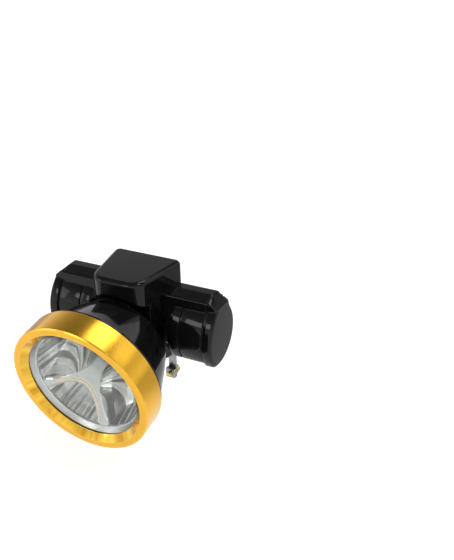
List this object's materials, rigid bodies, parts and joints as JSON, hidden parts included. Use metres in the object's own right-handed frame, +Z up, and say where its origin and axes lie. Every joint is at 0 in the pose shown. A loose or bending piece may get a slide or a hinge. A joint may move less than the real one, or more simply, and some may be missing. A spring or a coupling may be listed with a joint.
{
  "type": "miner's cap lamp",
  "caption": "Cordless miner's cap lamp with a round gold-bezel head on a tilting neck, a yoke housing with side battery barrels and a steel hook blade.",
  "frame": {"origin": "middle of the hook blade's flat seat, level with the tilt axle", "axes": "+X to the right seen from the front, -Y forward along the lamp's aim, +Z up"},
  "size_m": [0.1058, 0.0906, 0.0845],
  "materials": {
    "gold_anodised": "satin",
    "clear_lens": "gloss",
    "mirror_coat": "polished",
    "black_gloss": "gloss",
    "black_matte": "matte",
    "soft_rubber": "matte",
    "phosphor": "satin",
    "board_white": "satin",
    "board_green": "satin",
    "fibre": "matte",
    "cell_wrap": "gloss",
    "bare_aluminium": "satin",
    "steel": "satin",
    "blade_steel": "brushed",
    "brass": "satin"
  },
  "bodies": {
    "housing": {"main_housing": "black_gloss", "tilt_axle": "steel", "axle_clip": "steel", "cheek_screws": "steel", "friction_washers": "fibre", "barrel_right": "black_gloss", "barrel_left": "black_gloss", "end_cap_right": "black_gloss", "end_cap_left": "black_gloss", "cap_seals": "soft_rubber", "cell_right": "cell_wrap", "cell_left": "cell_wrap", "contact_plates": "steel", "contact_leaves": "brass", "switch_module": "fibre", "charge_contacts": "brass", "flap_pin": "steel", "rear_cover": "black_matte", "cover_screws": "steel", "driver_board": "board_green", "driver_chips": "black_matte", "hook_blade": "blade_steel", "hook_screws": "steel", "clamp_screw": "brass", "clamp_nut": "blade_steel"},
    "lamp_head": {"bezel_ring": "gold_anodised", "front_lens": "clear_lens", "lens_gasket": "soft_rubber", "reflector": "mirror_coat", "led_emitters": "phosphor", "emitter_board": "board_white", "heat_spreader": "bare_aluminium", "spreader_screws": "steel", "head_shell": "black_gloss", "tilt_knuckle": "black_gloss", "knuckle_screws": "steel"},
    "button": {"power_button": "soft_rubber"},
    "flap": {"charge_flap": "soft_rubber"}
  },
  "joints": [
    {"name": "head_tilt", "type": "hinge", "parent": "housing", "child": "lamp_head", "pos_m": [0, -0.0224, 0], "axis": [1, 0, 0], "range_deg": [-5, 28]},
    {"name": "button_press", "type": "slide", "parent": "housing", "child": "button", "axis": [1, 0, 0], "range_m": [0, 0.001], "stiffness_N_per_m": 1200},
    {"name": "flap_open", "type": "hinge", "parent": "housing", "child": "flap", "pos_m": [-0.03325, -0.0185, -0.01625], "axis": [1, 0, 0], "range_deg": [0, 100]}
  ]
}
